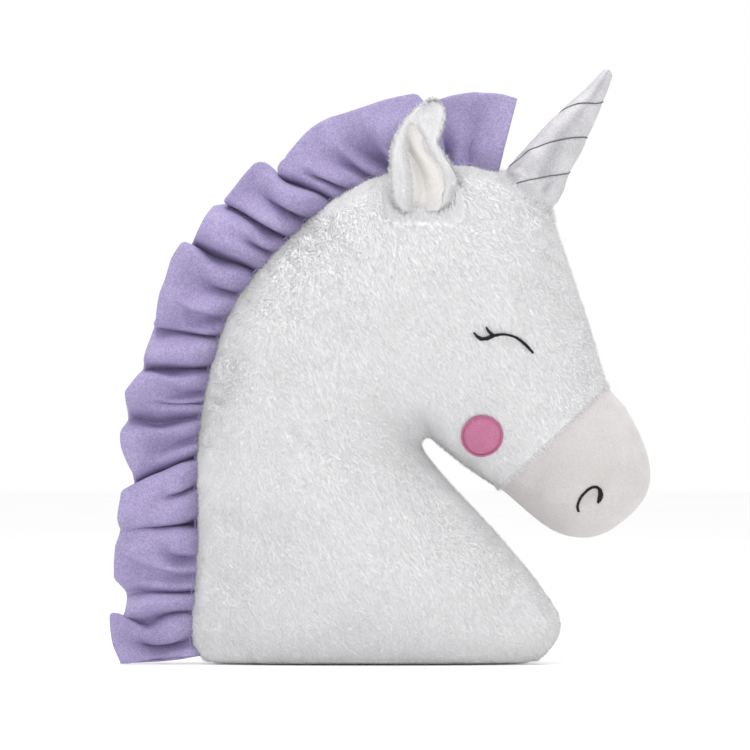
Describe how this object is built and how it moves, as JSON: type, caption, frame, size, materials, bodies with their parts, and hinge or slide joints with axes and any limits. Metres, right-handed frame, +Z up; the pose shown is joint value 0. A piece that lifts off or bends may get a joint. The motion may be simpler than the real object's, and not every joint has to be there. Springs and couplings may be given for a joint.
{
  "type": "plush unicorn cushion",
  "caption": "Stuffed unicorn head and neck in white fleece, with a gathered lilac mane, folded ears, a wound silver horn and embroidered features, standing on a flat sewn base.",
  "frame": {"origin": "on the resting plane, under the middle of the overall box", "axes": "+Z up from the base to the horn; +X from the mane towards the muzzle; +Y through the thickness, so the front face looks along -Y"},
  "size_m": [0.3786, 0.1202, 0.4162],
  "materials": {
    "white_fleece": "long soft pile",
    "muzzle_velour": "short smooth pile",
    "polyester_filling": "loose fibre",
    "lilac_velour": "short pile with a sheen",
    "lilac_thread": "matt",
    "white_thread": "matt",
    "black_thread": "satin stitched",
    "pink_velour": "short pile",
    "pink_thread": "satin stitched",
    "ear_velour": "short smooth pile",
    "silver_foil_fabric": "crinkled metallic foil on cloth",
    "grey_cord": "twisted",
    "satin_ribbon": "satin"
  },
  "bodies": {
    "head_and_neck": {"front_head_panel": "white_fleece", "back_head_panel": "white_fleece", "front_muzzle_panel": "muzzle_velour", "back_muzzle_panel": "muzzle_velour", "base_panel": "white_fleece", "body_filling": "polyester_filling", "mane_ruffle": "lilac_velour", "mane_gathering_thread": "lilac_thread", "perimeter_seam_thread": "white_thread", "front_muzzle_seam_thread": "white_thread", "back_muzzle_seam_thread": "white_thread", "base_seam_thread": "white_thread", "closing_stitches": "white_thread", "front_eye_embroidery": "black_thread", "back_eye_embroidery": "black_thread", "front_cheek_patch": "pink_velour", "back_cheek_patch": "pink_velour", "front_cheek_edging": "pink_thread", "back_cheek_edging": "pink_thread", "front_nostril_embroidery": "black_thread", "back_nostril_embroidery": "black_thread", "front_ear_stitches": "white_thread", "back_ear_stitches": "white_thread", "care_label": "satin_ribbon"},
    "front_ear": {"front_ear_outer": "white_fleece", "front_ear_lining": "ear_velour"},
    "back_ear": {"back_ear_outer": "white_fleece", "back_ear_lining": "ear_velour"},
    "horn": {"horn_shell": "silver_foil_fabric", "horn_filling": "polyester_filling", "horn_wound_cord": "grey_cord"}
  },
  "joints": [
    {"name": "front_ear_fold", "type": "hinge", "parent": "head_and_neck", "child": "front_ear", "pos_m": [0.025, -0.0455, 0.316], "axis": [1, 0, 0], "range_deg": [-6, 75], "stiffness_Nm_per_rad": 0.03},
    {"name": "back_ear_fold", "type": "hinge", "parent": "head_and_neck", "child": "back_ear", "pos_m": [0.025, 0.0455, 0.316], "axis": [-1, 0, 0], "range_deg": [-6, 75], "stiffness_Nm_per_rad": 0.03},
    {"name": "horn_tilt", "type": "hinge", "parent": "head_and_neck", "child": "horn", "pos_m": [0.1015, 0, 0.3285], "axis": [0, 1, 0], "range_deg": [-8, 10], "stiffness_Nm_per_rad": 0.15}
  ]
}
